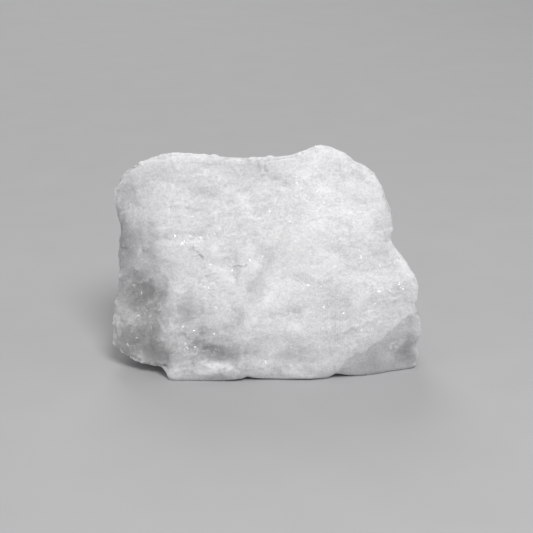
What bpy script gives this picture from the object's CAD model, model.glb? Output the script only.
"""Rough cryolite: a hand-sized lump of white, translucent massive cryolite, dressed over its CAD solid."""

import math

import bpy
from mathutils import Euler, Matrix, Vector


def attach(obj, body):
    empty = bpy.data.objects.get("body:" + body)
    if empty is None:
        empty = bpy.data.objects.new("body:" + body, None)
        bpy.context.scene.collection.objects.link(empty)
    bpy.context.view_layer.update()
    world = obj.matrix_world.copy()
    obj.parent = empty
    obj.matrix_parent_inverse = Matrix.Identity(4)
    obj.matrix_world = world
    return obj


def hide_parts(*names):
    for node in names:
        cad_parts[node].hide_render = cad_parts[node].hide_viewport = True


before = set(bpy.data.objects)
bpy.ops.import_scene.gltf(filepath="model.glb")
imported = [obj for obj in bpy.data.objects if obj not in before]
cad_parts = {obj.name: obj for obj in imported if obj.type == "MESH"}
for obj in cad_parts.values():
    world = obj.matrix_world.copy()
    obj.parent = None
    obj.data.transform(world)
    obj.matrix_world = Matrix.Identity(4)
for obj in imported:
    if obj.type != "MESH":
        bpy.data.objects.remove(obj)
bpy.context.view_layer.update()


# The lump
# One broken piece of massive cryolite, nothing added to it. It parts along three planes near to a cube's,
# so its broken surfaces are a patchwork of small flats and low ledges, with sugary grains between them.
MM = 0.001
WELD = 0.001 * MM
MESH_STEP = 0.265 * MM
CORNER_SMOOTHING = 3
PARTING_TURN = Euler((math.radians(-24), 0.0, math.radians(17)))
# The broad face's own directions: x to the right, z up in it, in millimetres from its middle.
FACE_LEAN = math.radians(20)
FACE_MIDDLE = Vector((0.0, -6.21, 15.94))


def add(tree, kind, links=None, **settings):
    """Adds a node with its settings, and links or sets its inputs by name or number."""
    node = tree.nodes.new(kind)
    for name, value in settings.items():
        setattr(node, name, value)
    for name, value in (links or {}).items():
        if isinstance(value, bpy.types.NodeSocket):
            tree.links.new(value, node.inputs[name])
        else:
            node.inputs[name].default_value = value
    return node


# A welded copy of the CAD solid is given an even, fine mesh, with its sharpest corners taken off.
bpy.ops.object.select_all(action="DESELECT")
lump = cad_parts["cryolite_lump"].copy()
lump.data = lump.data.copy()
lump.name = lump.data.name = "cryolite"
lump.parent = None
bpy.context.scene.collection.objects.link(lump)
lump.select_set(True)
bpy.context.view_layer.objects.active = lump
bpy.ops.object.mode_set(mode="EDIT")
bpy.ops.mesh.select_all(action="SELECT")
bpy.ops.mesh.remove_doubles(threshold=WELD)
bpy.ops.object.mode_set(mode="OBJECT")

even = lump.modifiers.new("even_mesh", "REMESH")
even.mode = "VOXEL"
even.voxel_size = MESH_STEP
even.use_smooth_shade = True
soft = lump.modifiers.new("soft_corners", "SMOOTH")
soft.iterations = CORNER_SMOOTHING

relief = bpy.data.node_groups.new("broken_grains", "GeometryNodeTree")
relief.interface.new_socket("Geometry", in_out="INPUT", socket_type="NodeSocketGeometry")
relief.interface.new_socket("Geometry", in_out="OUTPUT", socket_type="NodeSocketGeometry")
surface_in = add(relief, "NodeGroupInput")
place = add(relief, "GeometryNodeInputPosition")
normal = add(relief, "GeometryNodeInputNormal")
in_mm = add(relief, "ShaderNodeVectorMath", {0: place.outputs[0], "Scale": 1 / MM}, operation="SCALE")
turned = add(relief, "ShaderNodeVectorRotate", {"Vector": in_mm.outputs[0], "Rotation": PARTING_TURN},
             rotation_type="EULER_XYZ", invert=True)
# The parting planes aren't quite flat. They stray by half of BEND mm at most, in waves about 3 mm long.
BENDS_PER_MM = 0.35
BEND = 1.6
bent = add(relief, "ShaderNodeTexNoise", {"Vector": in_mm.outputs[0], "Scale": BENDS_PER_MM, "Detail": 2.0})
bend = add(relief, "ShaderNodeVectorMath", {0: bent.outputs["Color"], 1: (0.5, 0.5, 0.5)},
           operation="SUBTRACT")
bend = add(relief, "ShaderNodeVectorMath", {0: bend.outputs[0], "Scale": BEND}, operation="SCALE")
warped = add(relief, "ShaderNodeVectorMath", {0: turned.outputs[0], 1: bend.outputs[0]}, operation="ADD")


def tilted_flats(size, tilt, step, metric):
    """Height in millimetres of a layer of flats, each with its own tilt and its own level."""
    cell = add(relief, "ShaderNodeVectorMath", {0: warped.outputs[0], 1: [1 / side for side in size]},
               operation="MULTIPLY")
    flat = add(relief, "ShaderNodeTexVoronoi", {"Vector": cell.outputs[0], "Scale": 1.0}, distance=metric)
    from_middle = add(relief, "ShaderNodeVectorMath", {0: cell.outputs[0], 1: flat.outputs["Position"]},
                      operation="SUBTRACT")
    lean = add(relief, "ShaderNodeVectorMath", {0: flat.outputs["Color"], 1: (0.5, 0.5, 0.5)},
               operation="SUBTRACT")
    slope = add(relief, "ShaderNodeVectorMath", {0: from_middle.outputs[0], 1: lean.outputs[0]},
                operation="DOT_PRODUCT")
    level = add(relief, "ShaderNodeSeparateXYZ", {0: flat.outputs["Color"]})
    high = add(relief, "ShaderNodeMath", {0: slope.outputs["Value"], 1: 2 * tilt * size[0]},
               operation="MULTIPLY")
    return add(relief, "ShaderNodeMath", {0: level.outputs[1], 1: step, 2: high.outputs[0]},
               operation="MULTIPLY_ADD").outputs[0]


def face_place(tree, spot):
    """A spot in millimetres, in the broad face's own directions."""
    from_middle = add(tree, "ShaderNodeVectorMath", {0: spot, 1: FACE_MIDDLE}, operation="SUBTRACT")
    return add(tree, "ShaderNodeVectorRotate", {"Vector": from_middle.outputs[0],
                                                "Rotation": Euler((FACE_LEAN, 0.0, 0.0))},
               rotation_type="EULER_XYZ")


def stands_out(steps, low, high):
    """How far a point stands out over the surface round it, steps edges wide: 0 at low mm, 1 at high mm."""
    level_with = add(relief, "GeometryNodeBlurAttribute", {"Value": in_mm.outputs[0], "Iterations": steps},
                     data_type="FLOAT_VECTOR")
    over = add(relief, "ShaderNodeVectorMath", {0: in_mm.outputs[0], 1: level_with.outputs[0]},
               operation="SUBTRACT")
    over = add(relief, "ShaderNodeVectorMath", {0: over.outputs[0], 1: normal.outputs[0]},
               operation="DOT_PRODUCT")
    return add(relief, "ShaderNodeMapRange", {0: over.outputs["Value"], 1: low, 2: high}).outputs[0]


# Small flats, then sugary grains on them, then crumbs too small to have a shape. Widths and steps are in mm.
FLATS = 2.6
FLATS_TILT = 0.035
FLATS_STEP = 0.05
GRAINS = 1.05
GRAINS_TILT = 0.045
GRAINS_STEP = 0.018
LAYER_THICK = 0.8
FLATS_LONG = 1.3
CRUMBS = 0.55
CRUMBS_HEIGHT = 0.02
SUNK = 0.06
flats = tilted_flats((FLATS * FLATS_LONG, FLATS, FLATS * LAYER_THICK), FLATS_TILT, FLATS_STEP, "CHEBYCHEV")
grains = tilted_flats((GRAINS, GRAINS, GRAINS * LAYER_THICK), GRAINS_TILT, GRAINS_STEP, "EUCLIDEAN")
crumb = add(relief, "ShaderNodeTexNoise", {"Vector": in_mm.outputs[0], "Scale": 1 / CRUMBS, "Detail": 1.0})
height = add(relief, "ShaderNodeMath", {0: flats, 1: grains}, operation="ADD")
height = add(relief, "ShaderNodeMath", {0: crumb.outputs[0], 1: 2 * CRUMBS_HEIGHT, 2: height.outputs[0]},
             operation="MULTIPLY_ADD")
height = add(relief, "ShaderNodeMath", {0: height.outputs[0], 1: SUNK}, operation="SUBTRACT")

# The lower right corner is one clean parting flat. Past its edge, a line that wanders by about a
# millimetre, the grains are much lower.
CORNER_FROM = Vector((11.5, 0.0, -15.0))
CORNER_TO = Vector((21.5, 0.0, -7.6))
CORNER_WANDERS = 2.4
CORNER_STARTS = 0.92
CORNER_WHOLE = 1.08
CORNER_GRAINS = 0.3
along = (CORNER_TO - CORNER_FROM).normalized()
on_face = face_place(relief, in_mm.outputs[0])
past = add(relief, "ShaderNodeVectorMath", {0: on_face.outputs[0], 1: CORNER_FROM}, operation="SUBTRACT")
past = add(relief, "ShaderNodeVectorMath", {0: past.outputs[0], 1: (along.z, 0.0, -along.x)},
           operation="DOT_PRODUCT")
past = add(relief, "ShaderNodeMath", {0: bent.outputs["Fac"], 1: CORNER_WANDERS, 2: past.outputs["Value"]},
           operation="MULTIPLY_ADD")
corner = add(relief, "ShaderNodeMapRange", {0: past.outputs[0], 1: CORNER_STARTS, 2: CORNER_WHOLE})
grainy = add(relief, "ShaderNodeMapRange", {0: corner.outputs[0], 3: 1.0, 4: CORNER_GRAINS})
height = add(relief, "ShaderNodeMath", {0: height.outputs[0], 1: grainy.outputs[0]}, operation="MULTIPLY")

# The middle of the face, right of the step, is the smoothest, and its relief rises to full at CALM_REACH.
CALM_MIDDLE = (5.0, 0.0, 1.0)
CALM_REACH = (12.0, 12.0, 10.0)
CALM_CORE = 0.4
CALM_RELIEF = 0.45
calm = add(relief, "ShaderNodeVectorMath", {0: on_face.outputs[0], 1: CALM_MIDDLE}, operation="SUBTRACT")
calm = add(relief, "ShaderNodeVectorMath", {0: calm.outputs[0], 1: CALM_REACH}, operation="DIVIDE")
calm = add(relief, "ShaderNodeVectorMath", {0: calm.outputs[0]}, operation="LENGTH")
calm = add(relief, "ShaderNodeMapRange", {0: calm.outputs["Value"], 1: CALM_CORE, 2: 1.0, 3: CALM_RELIEF,
                                          4: 1.0}, interpolation_type="SMOOTHSTEP")
height = add(relief, "ShaderNodeMath", {0: height.outputs[0], 1: calm.outputs[0]}, operation="MULTIPLY")

# Edges are chipped back in scallops, with nicks in the chips. A chip only takes stone away, so both layers
# are lowered by their steps, and they show where the surface stands out over what is round it.
CHIPS = 1.5
CHIPS_TILT = 0.40
CHIPS_STEP = 0.50
NICKS = 0.75
NICKS_TILT = 0.30
NICKS_STEP = 0.20
EDGE_WIDTH = 24
CHIPS_START = 0.05
CHIPS_WHOLE = 0.20
chips = tilted_flats((CHIPS, CHIPS, CHIPS), CHIPS_TILT, CHIPS_STEP, "EUCLIDEAN")
nicks = tilted_flats((NICKS, NICKS, NICKS), NICKS_TILT, NICKS_STEP, "EUCLIDEAN")
chipped = add(relief, "ShaderNodeMath", {0: chips, 1: nicks}, operation="ADD")
chipped = add(relief, "ShaderNodeMath", {0: chipped.outputs[0], 1: CHIPS_STEP + NICKS_STEP},
              operation="SUBTRACT")
on_edge = stands_out(EDGE_WIDTH, CHIPS_START, CHIPS_WHOLE)
chipped = add(relief, "ShaderNodeMath", {0: chipped.outputs[0], 1: on_edge}, operation="MULTIPLY")
# The left of the lump is more bruised than the right.
LEFT = -8.0
RIGHT = 12.0
LEFT_BRUISED = 0.9
RIGHT_BRUISED = 0.65
across_deep_up = add(relief, "ShaderNodeSeparateXYZ", {0: in_mm.outputs[0]})
bruises = add(relief, "ShaderNodeMapRange", {0: across_deep_up.outputs[0], 1: LEFT, 2: RIGHT, 3: LEFT_BRUISED,
                                             4: RIGHT_BRUISED})
chipped = add(relief, "ShaderNodeMath", {0: chipped.outputs[0], 1: bruises.outputs[0]}, operation="MULTIPLY")
# Half way up, the ends have lost less than above and below, at the four corners.
HALF_WAY = 4.0
CORNERS = 10.0
ENDS_BRUISED = 0.5
up_face = add(relief, "ShaderNodeSeparateXYZ", {0: on_face.outputs[0]})
up_face = add(relief, "ShaderNodeMath", {0: up_face.outputs[2]}, operation="ABSOLUTE")
up_face = add(relief, "ShaderNodeMapRange", {0: up_face.outputs[0], 1: HALF_WAY, 2: CORNERS, 3: ENDS_BRUISED,
                                             4: 1.0})
chipped = add(relief, "ShaderNodeMath", {0: chipped.outputs[0], 1: up_face.outputs[0]}, operation="MULTIPLY")
# The sharpest burrs on the chips have rubbed off.
RUBBED = 0.5
chipped = add(relief, "GeometryNodeBlurAttribute", {"Value": chipped.outputs[0], "Iterations": 1,
                                                    "Weight": RUBBED}, data_type="FLOAT")
# The foot isn't chipped, and close to it all relief fades, so that the lump still rests on its flat.
FOOT_HEIGHT = 0.6
FOOT_CHIPPED = 2.2
whole_foot = add(relief, "ShaderNodeMapRange", {0: across_deep_up.outputs[2], 1: FOOT_HEIGHT,
                                                2: FOOT_CHIPPED})
chipped = add(relief, "ShaderNodeMath", {0: chipped.outputs[0], 1: whole_foot.outputs[0]},
              operation="MULTIPLY")
height = add(relief, "ShaderNodeMath", {0: height.outputs[0], 1: chipped.outputs[0]}, operation="ADD")
clear_of_foot = add(relief, "ShaderNodeMapRange", {0: across_deep_up.outputs[2], 1: 0.0, 2: FOOT_HEIGHT,
                                                   3: 0.0, 4: MM}, interpolation_type="SMOOTHSTEP")
shift = add(relief, "ShaderNodeMath", {0: height.outputs[0], 1: clear_of_foot.outputs[0]},
            operation="MULTIPLY")
offset = add(relief, "ShaderNodeVectorMath", {0: normal.outputs[0], "Scale": shift.outputs[0]},
             operation="SCALE")
moved = add(relief, "ShaderNodeVectorMath", {0: place.outputs[0], 1: offset.outputs[0]}, operation="ADD")
# Nothing goes below the floor. The limit of a metre to the left and in front is never met.
on_floor = add(relief, "ShaderNodeVectorMath", {0: moved.outputs[0], 1: (-1.0, -1.0, 0.0)},
               operation="MAXIMUM")
worked = add(relief, "GeometryNodeSetPosition", {0: surface_in.outputs[0], "Position": on_floor.outputs[0]})

# The finished surface keeps a record for the material: its fine edges and creases, the clean corner, and
# its outer rims.
FINE_EDGE_WIDTH = 3
FINE_EDGE = 0.06
RIM_STARTS = 0.12
RIM_WHOLE = 0.32
records = {
    "edge": stands_out(FINE_EDGE_WIDTH, -FINE_EDGE, FINE_EDGE),
    "corner": corner.outputs[0],
    "rim": stands_out(EDGE_WIDTH, RIM_STARTS, RIM_WHOLE),
}
for name, value in records.items():
    worked = add(relief, "GeometryNodeStoreNamedAttribute",
                 {0: worked.outputs[0], "Name": name, "Value": value}, data_type="FLOAT", domain="POINT")
add(relief, "NodeGroupOutput", {0: worked.outputs[0]})
broken = lump.modifiers.new("broken_grains", "NODES")
broken.node_group = relief
for modifier in list(lump.modifiers):
    bpy.ops.object.modifier_apply(modifier=modifier.name)
bpy.ops.object.shade_smooth()


def colour(hex_code):
    """An sRGB hex colour as linear red, green, blue and alpha."""
    parts = [int(hex_code[i:i + 2], 16) / 255 for i in (1, 3, 5)]
    return (*[p / 12.92 if p <= 0.04045 else ((p + 0.055) / 1.055) ** 2.4 for p in parts], 1.0)


# Massive cryolite, broken and not polished: white where it is full of healed cracks and grain boundaries,
# grey and clearer where the crystal is whole, and greasy to glassy on its fresh flats.
MILKY = colour("#EFEFF0")
CLOUD = colour("#E6E6E8")
GREY = colour("#A9A9AB")
WARM = colour("#AAA9A8")
COOL = colour("#ACADB1")
GLASS = colour("#7E7E80")
FLECK = colour("#FCFCFD")
cryolite = bpy.data.materials.new("massive_cryolite")
cryolite.use_nodes = True
tree = cryolite.node_tree
shader = tree.nodes["Principled BSDF"]

coords = add(tree, "ShaderNodeTexCoord")
in_mm = add(tree, "ShaderNodeVectorMath", {0: coords.outputs["Object"], "Scale": 1 / MM}, operation="SCALE")
turned = add(tree, "ShaderNodeVectorRotate", {"Vector": in_mm.outputs[0], "Rotation": PARTING_TURN},
             rotation_type="EULER_XYZ", invert=True)
face = face_place(tree, in_mm.outputs[0])
# Zones have ragged edges: they are stirred by up to half of STIR mm, in waves about 4.5 mm long.
STIRS_PER_MM = 0.22
STIR = 7.0
stir = add(tree, "ShaderNodeTexNoise", {"Vector": in_mm.outputs[0], "Scale": STIRS_PER_MM, "Detail": 4.0,
                                        "Roughness": 0.6})
stir = add(tree, "ShaderNodeVectorMath", {0: stir.outputs["Color"], 1: (0.5, 0.5, 0.5)}, operation="SUBTRACT")
stir = add(tree, "ShaderNodeVectorMath", {0: stir.outputs[0], "Scale": STIR}, operation="SCALE")
stirred = add(tree, "ShaderNodeVectorMath", {0: face.outputs[0], 1: stir.outputs[0]}, operation="ADD")


def patches(places):
    """Sum of soft patches, each with its middle, its reach in millimetres and its strength."""
    total = 0.0
    for middle, reach, strength in places:
        away = add(tree, "ShaderNodeVectorMath", {0: stirred.outputs[0], 1: middle}, operation="SUBTRACT")
        away = add(tree, "ShaderNodeVectorMath", {0: away.outputs[0], 1: reach}, operation="DIVIDE")
        far = add(tree, "ShaderNodeVectorMath", {0: away.outputs[0]}, operation="LENGTH")
        soft = add(tree, "ShaderNodeMapRange", {0: far.outputs["Value"], 1: 1.0, 2: 0.0, 3: 0.0, 4: strength},
                   interpolation_type="SMOOTHERSTEP")
        total = add(tree, "ShaderNodeMath", {0: total, 1: soft.outputs[0]}, operation="ADD").outputs[0]
    return total


# Clearer, greyer crystal. Places are in the broad face's directions, and a strength below 0 is milkier.
left_side_and_hollows = [
    ((-21.5, 0, -4.0), (8.0, 14, 15.0), 0.70),
    ((-23.0, 0, 6.0), (5.5, 12, 11.0), 0.50),
    ((-18.0, 0, 14.0), (10.0, 12, 7.0), 0.22),
    ((-22.5, 0, 12.5), (4.5, 9, 6.0), 0.20),
    ((-17.5, 0, 4.5), (5.5, 9, 4.5), 0.25),
    ((-17.5, 0, -4.0), (4.5, 9, 5.5), 0.45),
    ((-16.2, 0, -8.0), (4.5, 9, 3.6), 0.32),
    ((-17.5, 0, -12.5), (6.5, 9, 6.0), 0.80),
    ((-22.0, 0, -12.5), (4.0, 9, 6.0), 0.35),
]
left_of_the_step = [
    ((-7.0, 0, -5.0), (4.0, 8, 3.5), 0.20),
    ((-4.2, 0, -5.2), (4.0, 8, 4.2), -0.28),
    ((-12.6, 0, -6.6), (6.0, 9, 5.5), 0.42),
    ((-9.0, 0, -9.0), (8.0, 9, 5.0), 0.24),
    ((-11.0, 0, -13.0), (8.0, 9, 4.2), 0.50),
    ((-7.5, 0, -13.2), (8.0, 9, 3.0), 0.15),
    ((-5.0, 0, -12.8), (7.5, 9, 3.4), 0.45),
]
foot = [
    ((-10.0, 0, -16.0), (4.0, 8, 1.8), -0.25),
    ((-4.0, 0, -16.8), (12.0, 12, 2.6), 0.40),
    ((-4.0, 0, -14.4), (4.5, 9, 3.5), 0.24),
    ((4.8, 0, -13.8), (4.8, 8, 3.2), 0.30),
]
top = [
    ((-8.5, 0, 13.0), (8.5, 8, 4.6), 0.24),
    ((-2.0, 0, 16.5), (12.0, 8, 6.0), 0.38),
    ((13.5, 0, 14.5), (8.0, 10, 5.5), 0.26),
]
middle_and_right = [
    ((4.5, 0, 4.0), (5.5, 8, 5.0), -0.25),
    ((4.2, 0, -6.6), (3.5, 8, 2.6), 0.18),
    ((9.0, 0, -4.5), (7.0, 8, 3.5), 0.20),
    ((13.0, 0, -7.0), (9.0, 10, 5.0), 0.24),
    ((10.0, 0, -11.0), (7.0, 8, 4.0), 0.20),
    ((17.5, 0, -6.0), (5.0, 8, 5.0), 0.22),
    ((19.5, 0, 7.5), (6.0, 12, 9.5), 0.44),
    ((21.0, 0, -4.5), (6.5, 12, 8.0), 0.28),
    ((21.2, 0, -12.8), (3.6, 10, 2.8), 0.34),
    ((15.6, 0, -13.8), (2.2, 8, 3.2), 0.16),
]
back = [((2.0, 16, 0.0), (18, 9, 14), 0.30)]
clear = patches(left_side_and_hollows + left_of_the_step + foot + top + middle_and_right + back)

# A clearer band lies to the left of the step. It is sharp along the step's own line, a little stirred, and
# fades out STEP_BAND mm from it.
STEP_FROM = Vector((-7.8, 0.0, -9.5))
STEP_TO = Vector((0.9, 0.0, 4.4))
STEP_STIR = 0.6
STEP_LINE = (-0.4, 1.4)
STEP_FADES = 1.8
STEP_BAND = 5.8
STEP_CLEAR = 0.31
along = (STEP_TO - STEP_FROM).normalized()
beside = add(tree, "ShaderNodeVectorMath", {0: stir.outputs[0], "Scale": STEP_STIR}, operation="SCALE")
beside = add(tree, "ShaderNodeVectorMath", {0: face.outputs[0], 1: beside.outputs[0]}, operation="ADD")
beside = add(tree, "ShaderNodeVectorMath", {0: beside.outputs[0], 1: STEP_FROM}, operation="SUBTRACT")
beside = add(tree, "ShaderNodeVectorMath", {0: beside.outputs[0], 1: (along.z, 0.0, -along.x)},
             operation="DOT_PRODUCT")
near = add(tree, "ShaderNodeMapRange", {0: beside.outputs["Value"], 1: STEP_LINE[0], 2: STEP_LINE[1]},
           interpolation_type="SMOOTHSTEP")
far = add(tree, "ShaderNodeMapRange", {0: beside.outputs["Value"], 1: STEP_FADES, 2: STEP_BAND, 3: 1.0,
                                       4: 0.0}, interpolation_type="SMOOTHSTEP")
band = add(tree, "ShaderNodeMath", {0: near.outputs[0], 1: far.outputs[0]}, operation="MULTIPLY")
span = patches([((STEP_FROM + STEP_TO) / 2 + Vector((0.0, 0.0, 1.0)), (11.0, 8, 13.0), STEP_CLEAR)])
clear = add(tree, "ShaderNodeMath", {0: band.outputs[0], 1: span, 2: clear}, operation="MULTIPLY_ADD")

# Faint clouds of clearer crystal all through, about 6 mm across. A noise lies mostly between 0.3 and 0.7, so
# the ranges that it is read in, here and below, start and end near those.
CLOUDS_PER_MM = 0.16
CLOUDS_CLEAR = 0.16
cloudy = add(tree, "ShaderNodeTexNoise", {"Vector": in_mm.outputs[0], "Scale": CLOUDS_PER_MM, "Detail": 5.0,
                                          "Roughness": 0.62})
cloudy = add(tree, "ShaderNodeMapRange", {0: cloudy.outputs[0], 1: 0.42, 2: 0.72, 3: 0.0, 4: CLOUDS_CLEAR})
clear = add(tree, "ShaderNodeMath", {0: clear.outputs[0], 1: cloudy.outputs[0]}, operation="ADD")

# Open hairline cracks, a few millimetres long, look grey.
cracks = patches([
    ((-10.6, 0, 1.9), (1.0, 4, 0.38), 0.9),
    ((-9.8, 0, 1.3), (1.0, 4, 0.38), 0.9),
    ((-4.7, 0, 0.9), (1.9, 4, 0.34), 0.7),
    ((-8.4, 0, -0.9), (1.1, 4, 0.34), 0.6),
    ((13.5, 0, -8.8), (0.30, 4, 1.8), 0.6),
    ((-9.5, 0, -12.2), (1.8, 4, 0.36), 0.25),
])
clear = add(tree, "ShaderNodeMath", {0: clear.outputs[0], 1: cracks}, operation="ADD")

# The clean corner is clearer all over. Healed cracks cross the clear crystal as thin milky veils, about
# 2 mm apart, that leave VEILED of its clearness.
CORNER_CLEAR = 0.36
VEILS_PER_MM = 0.45
VEILED = 0.50
veil = add(tree, "ShaderNodeTexNoise", {"Vector": in_mm.outputs[0], "Scale": VEILS_PER_MM, "Detail": 5.0,
                                        "Roughness": 0.6, "Distortion": 0.6},
           noise_type="RIDGED_MULTIFRACTAL")
veil = add(tree, "ShaderNodeMapRange", {0: veil.outputs[0], 1: 0.9, 2: 1.6, 3: 1.0, 4: VEILED})
corner = add(tree, "ShaderNodeAttribute", attribute_name="corner")
clear = add(tree, "ShaderNodeMath", {0: corner.outputs["Fac"], 1: CORNER_CLEAR, 2: clear.outputs[0]},
            operation="MULTIPLY_ADD")
clear = add(tree, "ShaderNodeMath", {0: clear.outputs[0], 1: veil.outputs[0]}, operation="MULTIPLY",
            use_clamp=True)

# The milk lies in flat streaks along the parting, about 3 by 2 by 1 mm, and is whitest past the step and on
# a few bruised flakes.
STREAKS_PER_MM = (0.32, 0.5, 0.95)
streaked = add(tree, "ShaderNodeVectorMath", {0: turned.outputs[0], 1: STREAKS_PER_MM}, operation="MULTIPLY")
snow = add(tree, "ShaderNodeTexNoise", {"Vector": streaked.outputs[0], "Scale": 1.0, "Detail": 6.0,
                                        "Roughness": 0.68, "Distortion": 0.3})
snow = add(tree, "ShaderNodeMapRange", {0: snow.outputs[0], 1: 0.38, 2: 0.68})
whitest = patches([
    ((4.5, 0, 4.0), (7.0, 8, 5.5), 0.7),
    ((1.6, 0, -2.8), (3.6, 8, 4.4), 0.8),
    ((-1.2, 0, -6.6), (4.0, 8, 3.6), 0.8),
    ((9.0, 0, 12.0), (10.0, 8, 7.0), 0.3),
    ((6.0, 0, 2.5), (5.5, 8, 5.0), 0.6),
    ((-7.3, 0, -2.8), (2.4, 5, 0.6), 1.0),
    ((-8.2, 0, 2.8), (1.8, 5, 0.5), 1.0),
    ((-15.0, 0, 12.0), (2.2, 5, 0.6), 1.0),
    ((20.0, 0, 1.5), (2.0, 5, 2.4), 1.0),
    ((-7.0, 0, -15.8), (7.0, 5, 0.9), 0.9),
])
snow = add(tree, "ShaderNodeMath", {0: snow.outputs[0], 1: whitest}, operation="ADD", use_clamp=True)
white = add(tree, "ShaderNodeMix", {"Factor": snow.outputs[0], "A": CLOUD, "B": MILKY}, data_type="RGBA")
# The clear crystal is a neutral grey, warmer at the left, cooler at the clean corner, and darkest where it
# is thin and glassy, at the ends and in one hollow.
warm = patches([((-19.0, 0, -9.0), (8.0, 14, 11.0), 1.0)])
grey = add(tree, "ShaderNodeMix", {"Factor": warm, "A": GREY, "B": WARM}, data_type="RGBA")
cool = patches([((18.0, 0, -12.0), (11.0, 14, 8.0), 1.0)])
grey = add(tree, "ShaderNodeMix", {"Factor": cool, "A": grey.outputs[2], "B": COOL}, data_type="RGBA")
glassy = patches([
    ((-23.4, 0, 5.6), (2.6, 10, 5.5), 0.9),
    ((-23.4, 0, -3.0), (2.2, 10, 6.0), 0.5),
    ((-17.2, 0, -4.2), (3.2, 6, 3.0), 0.3),
    ((21.6, 0, -14.2), (2.4, 8, 2.4), 0.4),
])
grey = add(tree, "ShaderNodeMix", {"Factor": glassy, "A": grey.outputs[2], "B": GLASS}, data_type="RGBA")
body = add(tree, "ShaderNodeMix", {"Factor": clear.outputs[0], "A": white.outputs[2], "B": grey.outputs[2]},
           data_type="RGBA")

# Sugary grains, a quarter of a millimetre across, are each a little whiter or clearer than the next, and
# fine frost lies between them.
SUGAR_PER_MM = 4.4
FROST_PER_STREAK = 2.6
SUGAR_DULL = 0.90
SUGAR_BRIGHT = 1.07
sugar = add(tree, "ShaderNodeTexVoronoi", {"Vector": in_mm.outputs[0], "Scale": SUGAR_PER_MM}, feature="F1")
sugar = add(tree, "ShaderNodeSeparateXYZ", {0: sugar.outputs["Color"]})
frost = add(tree, "ShaderNodeTexNoise", {"Vector": streaked.outputs[0], "Scale": FROST_PER_STREAK,
                                         "Detail": 4.0})
sugar = add(tree, "ShaderNodeMath", {0: sugar.outputs[0], 1: frost.outputs[0]}, operation="ADD")
sugar = add(tree, "ShaderNodeMapRange", {0: sugar.outputs[0], 1: 0.5, 2: 1.5, 3: SUGAR_DULL, 4: SUGAR_BRIGHT})
body = add(tree, "ShaderNodeVectorMath", {0: body.outputs[2], "Scale": sugar.outputs[0]}, operation="SCALE")

# Bruised edges and rims are whiter than the flats.
EDGE_WHITE = 0.22
RIM_WHITE = 0.35
edge = add(tree, "ShaderNodeAttribute", attribute_name="edge")
bruised = add(tree, "ShaderNodeMapRange", {0: edge.outputs["Fac"], 1: 0.62, 2: 1.0, 3: 0.0, 4: EDGE_WHITE})
rim = add(tree, "ShaderNodeAttribute", attribute_name="rim")
bruised = add(tree, "ShaderNodeMath", {0: rim.outputs["Fac"], 1: RIM_WHITE, 2: bruised.outputs[0]},
              operation="MULTIPLY_ADD", use_clamp=True)
body = add(tree, "ShaderNodeMix", {"Factor": bruised.outputs[0], "A": body.outputs[0], "B": MILKY},
           data_type="RGBA")

# Tiny steps, a millimetre or two long, stand bright on the bruised places, most of them in the left half.
# Each is a short piece of the border between two cells, which are stirred and stretched as the streaks are.
WISPS_PER_STREAK = 1.3
wisp = add(tree, "ShaderNodeVectorMath", {0: streaked.outputs[0], 1: stir.outputs[0]}, operation="ADD")
wisp = add(tree, "ShaderNodeTexVoronoi", {"Vector": wisp.outputs[0], "Scale": WISPS_PER_STREAK},
           feature="DISTANCE_TO_EDGE")
wisp = add(tree, "ShaderNodeMapRange", {0: wisp.outputs["Distance"], 1: 0.02, 2: 0.12, 3: 1.0, 4: 0.0})
short = add(tree, "ShaderNodeTexNoise", {"Vector": in_mm.outputs[0], "Scale": 1.0, "Detail": 2.0})
short = add(tree, "ShaderNodeMapRange", {0: short.outputs[0], 1: 0.53, 2: 0.62})
wisp = add(tree, "ShaderNodeMath", {0: wisp.outputs[0], 1: short.outputs[0]}, operation="MULTIPLY")
bruised_places = patches([
    ((-8.5, 0, -3.0), (5.0, 8, 5.0), 0.9),
    ((-8.0, 0, -12.0), (8.0, 8, 3.6), 0.6),
    ((-13.0, 0, 3.0), (5.0, 8, 5.0), 0.6),
    ((-17.0, 0, -8.0), (6.0, 8, 8.0), 0.5),
    ((8.0, 0, -9.0), (8.0, 8, 4.0), 0.5),
    ((-22.0, 0, 5.0), (3.5, 8, 9.0), 0.6),
    ((20.5, 0, -12.5), (4.0, 8, 3.5), 0.35),
])
wisp = add(tree, "ShaderNodeMath", {0: wisp.outputs[0], 1: bruised_places}, operation="MULTIPLY")
# A few larger flecks, where flakes have half come off.
flecks = patches([
    ((-7.1, 0, -2.8), (1.7, 4, 0.50), 1.0),
    ((-8.0, 0, -6.4), (1.2, 4, 0.45), 1.0),
    ((-8.2, 0, 2.8), (1.2, 4, 0.45), 0.8),
    ((-13.7, 0, 12.2), (1.4, 4, 0.45), 0.9),
    ((-16.8, 0, 12.8), (1.1, 4, 0.50), 0.8),
    ((-12.2, 0, 2.9), (1.1, 4, 0.45), 0.8),
    ((11.8, 0, -8.3), (0.8, 4, 0.60), 1.0),
    ((15.7, 0, -7.6), (1.0, 4, 0.60), 0.9),
    ((19.3, 0, -11.8), (0.6, 4, 0.90), 0.8),
])
white_spot = add(tree, "ShaderNodeMath", {0: wisp.outputs[0], 1: flecks}, operation="MAXIMUM", use_clamp=True)
body = add(tree, "ShaderNodeMix", {"Factor": white_spot.outputs[0], "A": body.outputs[2], "B": FLECK},
           data_type="RGBA")
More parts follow.
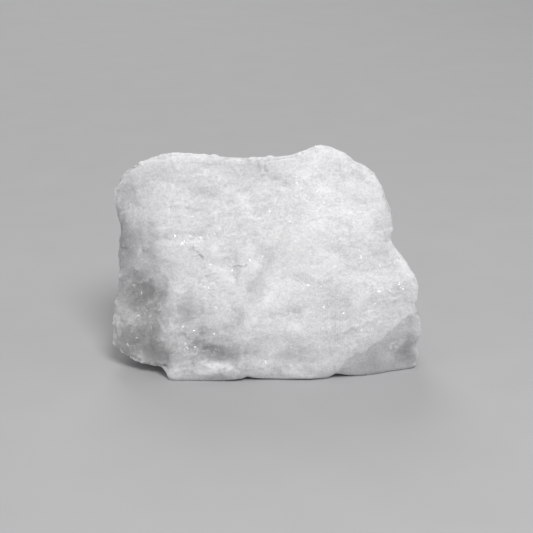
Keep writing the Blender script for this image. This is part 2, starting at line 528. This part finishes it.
# Creases hold a little shade.
CREASE_SHADE = 0.95
creased = add(tree, "ShaderNodeMapRange", {0: edge.outputs["Fac"], 1: 0.0, 2: 0.5, 3: CREASE_SHADE, 4: 1.0})
body = add(tree, "ShaderNodeVectorMath", {0: body.outputs[2], "Scale": creased.outputs[0]}, operation="SCALE")
tree.links.new(body.outputs[0], shader.inputs["Base Color"])

# Grains too small for the mesh, 0.33 mm across, with grit on them: each boundary bends the light a little.
GRAINS_PER_MM = 3.0
GRAIN_HEIGHT = 0.6
grain = add(tree, "ShaderNodeTexVoronoi", {"Vector": turned.outputs[0], "Scale": GRAINS_PER_MM}, feature="F1")
grit = add(tree, "ShaderNodeTexNoise", {"Vector": in_mm.outputs[0], "Scale": GRAINS_PER_MM, "Detail": 3.0,
                                        "Roughness": 0.65})
rough = add(tree, "ShaderNodeMath", {0: grain.outputs["Distance"], 1: GRAIN_HEIGHT, 2: grit.outputs[0]},
            operation="MULTIPLY_ADD")
# Fine parting steps, 0.36 mm apart and too low for the mesh, stripe the face above the clean corner. They
# run up the face, and STRIPES_LONG draws out their waviness that way.
STRIPE = 0.36
STRIPES_LONG = (1.0, 0.0, 0.12)
across = add(tree, "ShaderNodeVectorMath", {0: face.outputs[0], 1: STRIPES_LONG}, operation="MULTIPLY")
stripes = add(tree, "ShaderNodeTexWave", {"Vector": across.outputs[0], "Scale": math.pi / 10 / STRIPE,
                                          "Distortion": 1.6, "Detail": 2.0, "Detail Scale": 1.5})
striped = patches([((9.5, 0, -8.5), (8.0, 8, 5.5), 0.8), ((-1.0, 0, -13.0), (6.0, 8, 3.5), 0.4)])
stripes = add(tree, "ShaderNodeMath", {0: stripes.outputs["Fac"], 1: striped}, operation="MULTIPLY")
rough = add(tree, "ShaderNodeMath", {0: rough.outputs[0], 1: stripes.outputs[0]}, operation="ADD")
# The wisps are steps too, so they catch the light.
WISP_HEIGHT = 1.2
BUMP = 0.45
BUMP_HEIGHT = 0.14 * MM
rough = add(tree, "ShaderNodeMath", {0: wisp.outputs[0], 1: WISP_HEIGHT, 2: rough.outputs[0]},
            operation="MULTIPLY_ADD")
bump = add(tree, "ShaderNodeBump", {"Height": rough.outputs[0], "Strength": BUMP, "Distance": BUMP_HEIGHT})
tree.links.new(bump.outputs[0], shader.inputs["Normal"])
# Greasy to glassy: the roughness varies with the grit.
GLASSIEST = 0.30
GREASIEST = 0.55
lustre = add(tree, "ShaderNodeMapRange", {0: grit.outputs[0], 1: 0.3, 2: 0.7, 3: GLASSIEST, 4: GREASIEST})
tree.links.new(lustre.outputs[0], shader.inputs["Roughness"])

# Some grains end in a small mirror-like parting flat, 0.28 mm across, which flashes when it meets the
# light. Most grains have none: the share is lower on the bruised places.
FLAKES_PER_MM = 3.6
WITHOUT = 0.93
WITHOUT_BRUISED = 0.70
FLASH = 0.5
flake = add(tree, "ShaderNodeTexVoronoi", {"Vector": turned.outputs[0], "Scale": FLAKES_PER_MM}, feature="F1")
flake_tilt = add(tree, "ShaderNodeVectorMath", {0: flake.outputs["Color"], 1: (0.5, 0.5, 0.5)},
                 operation="SUBTRACT")
surface = add(tree, "ShaderNodeNewGeometry")
flake_normal = add(tree, "ShaderNodeVectorMath", {0: surface.outputs["Normal"], 1: flake_tilt.outputs[0]},
                   operation="ADD")
flake_normal = add(tree, "ShaderNodeVectorMath", {0: flake_normal.outputs[0]}, operation="NORMALIZE")
tree.links.new(flake_normal.outputs[0], shader.inputs["Coat Normal"])
lot = add(tree, "ShaderNodeSeparateColor", {0: flake.outputs["Color"]})
rare = add(tree, "ShaderNodeMapRange", {0: bruised_places, 1: 0.0, 2: 0.8, 3: WITHOUT,
                                        4: WITHOUT_BRUISED})
shows = add(tree, "ShaderNodeMath", {0: lot.outputs[2], 1: rare.outputs[0]}, operation="GREATER_THAN")
flash = add(tree, "ShaderNodeMath", {0: shows.outputs[0], 1: FLASH}, operation="MULTIPLY")
tree.links.new(flash.outputs[0], shader.inputs["Coat Weight"])
shader.inputs["Coat Roughness"].default_value = 0.12
shader.inputs["Coat IOR"].default_value = 1.6

# Only the clearest crystal lets light straight through. Cryolite's index is close to water's, and the milk
# scatters light for a few millimetres under the surface.
SEEN_THROUGH = 0.35
see_through = add(tree, "ShaderNodeMapRange", {0: clear.outputs[0], 1: 0.45, 2: 1.0, 3: 0.0, 4: SEEN_THROUGH})
tree.links.new(see_through.outputs[0], shader.inputs["Transmission Weight"])
shader.inputs["IOR"].default_value = 1.34
shader.inputs["Subsurface Weight"].default_value = 0.85
shader.inputs["Subsurface Radius"].default_value = (1.0, 1.0, 1.02)
shader.inputs["Subsurface Scale"].default_value = 3.0 * MM
lump.data.materials.clear()
lump.data.materials.append(cryolite)

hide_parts("cryolite_lump")
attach(lump, "root")


# The floor
# A plain pale studio paper, matt, that runs out of sight on all sides. Its tone is never quite even, and
# drifts a little over about a centimetre.
FLOOR_WIDTH = 6.0
TONES_PER_METRE = 90.0
bpy.ops.object.select_all(action="DESELECT")
bpy.ops.mesh.primitive_plane_add(size=FLOOR_WIDTH, location=(0.0, 0.0, 0.0))
floor = bpy.context.object
floor.name = "floor"
paper = bpy.data.materials.new("pale_studio_paper")
paper.use_nodes = True
tree = paper.node_tree
shader = tree.nodes["Principled BSDF"]
coords = add(tree, "ShaderNodeTexCoord")
drift = add(tree, "ShaderNodeTexNoise", {"Vector": coords.outputs["Object"], "Scale": TONES_PER_METRE,
                                         "Detail": 2.0})
tone = add(tree, "ShaderNodeMix", {"Factor": drift.outputs[0], "A": colour("#B4B4B5"),
                                   "B": colour("#B9B9BA")}, data_type="RGBA")
tree.links.new(tone.outputs[2], shader.inputs["Base Color"])
shader.inputs["Roughness"].default_value = 0.9
shader.inputs["Specular IOR Level"].default_value = 0.2
floor.data.materials.append(paper)


# The light
# A large soft light above and in front, a little to the right, with weaker ones at both sides and behind.
# Each lamp has its place and its width in metres, and its power in watts.
LAMPS = {
    "key": ((0.09, -0.32, 0.42), 0.22, 1.8),
    "left_fill": ((-0.45, -0.22, 0.22), 0.35, 0.2),
    "right_fill": ((0.48, -0.05, 0.20), 0.30, 0.25),
    "back_light": ((-0.08, 0.42, 0.38), 0.30, 0.9),
}
ROOM_GLOW = 0.36
for name, (spot, size, power) in LAMPS.items():
    bpy.ops.object.light_add(type="AREA", location=spot)
    lamp = bpy.context.object
    lamp.name = name
    lamp.data.shape = "DISK"
    lamp.data.size = size
    lamp.data.energy = power
    lamp.rotation_euler = (FACE_MIDDLE * MM - Vector(spot)).to_track_quat("-Z", "Y").to_euler()
room = bpy.data.worlds.new("pale_room")
room.use_nodes = True
room.node_tree.nodes["Background"].inputs["Color"].default_value = colour("#E9E9E9")
room.node_tree.nodes["Background"].inputs["Strength"].default_value = ROOM_GLOW
bpy.context.scene.world = room


# The camera
# It looks at the broad face square on, 20 degrees down, from 22 cm away, through a long lens that hardly
# draws the nearer parts larger.
DISTANCE = 222.08 * MM
LENS = 100.0
SENSOR = 36.0
NEAREST = 0.01
back_off = DISTANCE * Vector((0.0, -math.cos(FACE_LEAN), math.sin(FACE_LEAN)))
bpy.ops.object.camera_add(location=FACE_MIDDLE * MM + back_off)
camera = bpy.context.object
camera.rotation_euler = (math.radians(90) - FACE_LEAN, 0.0, 0.0)
camera.data.lens = LENS
camera.data.sensor_width = SENSOR
camera.data.clip_start = NEAREST
bpy.context.scene.camera = camera
bpy.context.scene.view_settings.view_transform = "Standard"
bpy.context.scene.view_settings.look = "None"
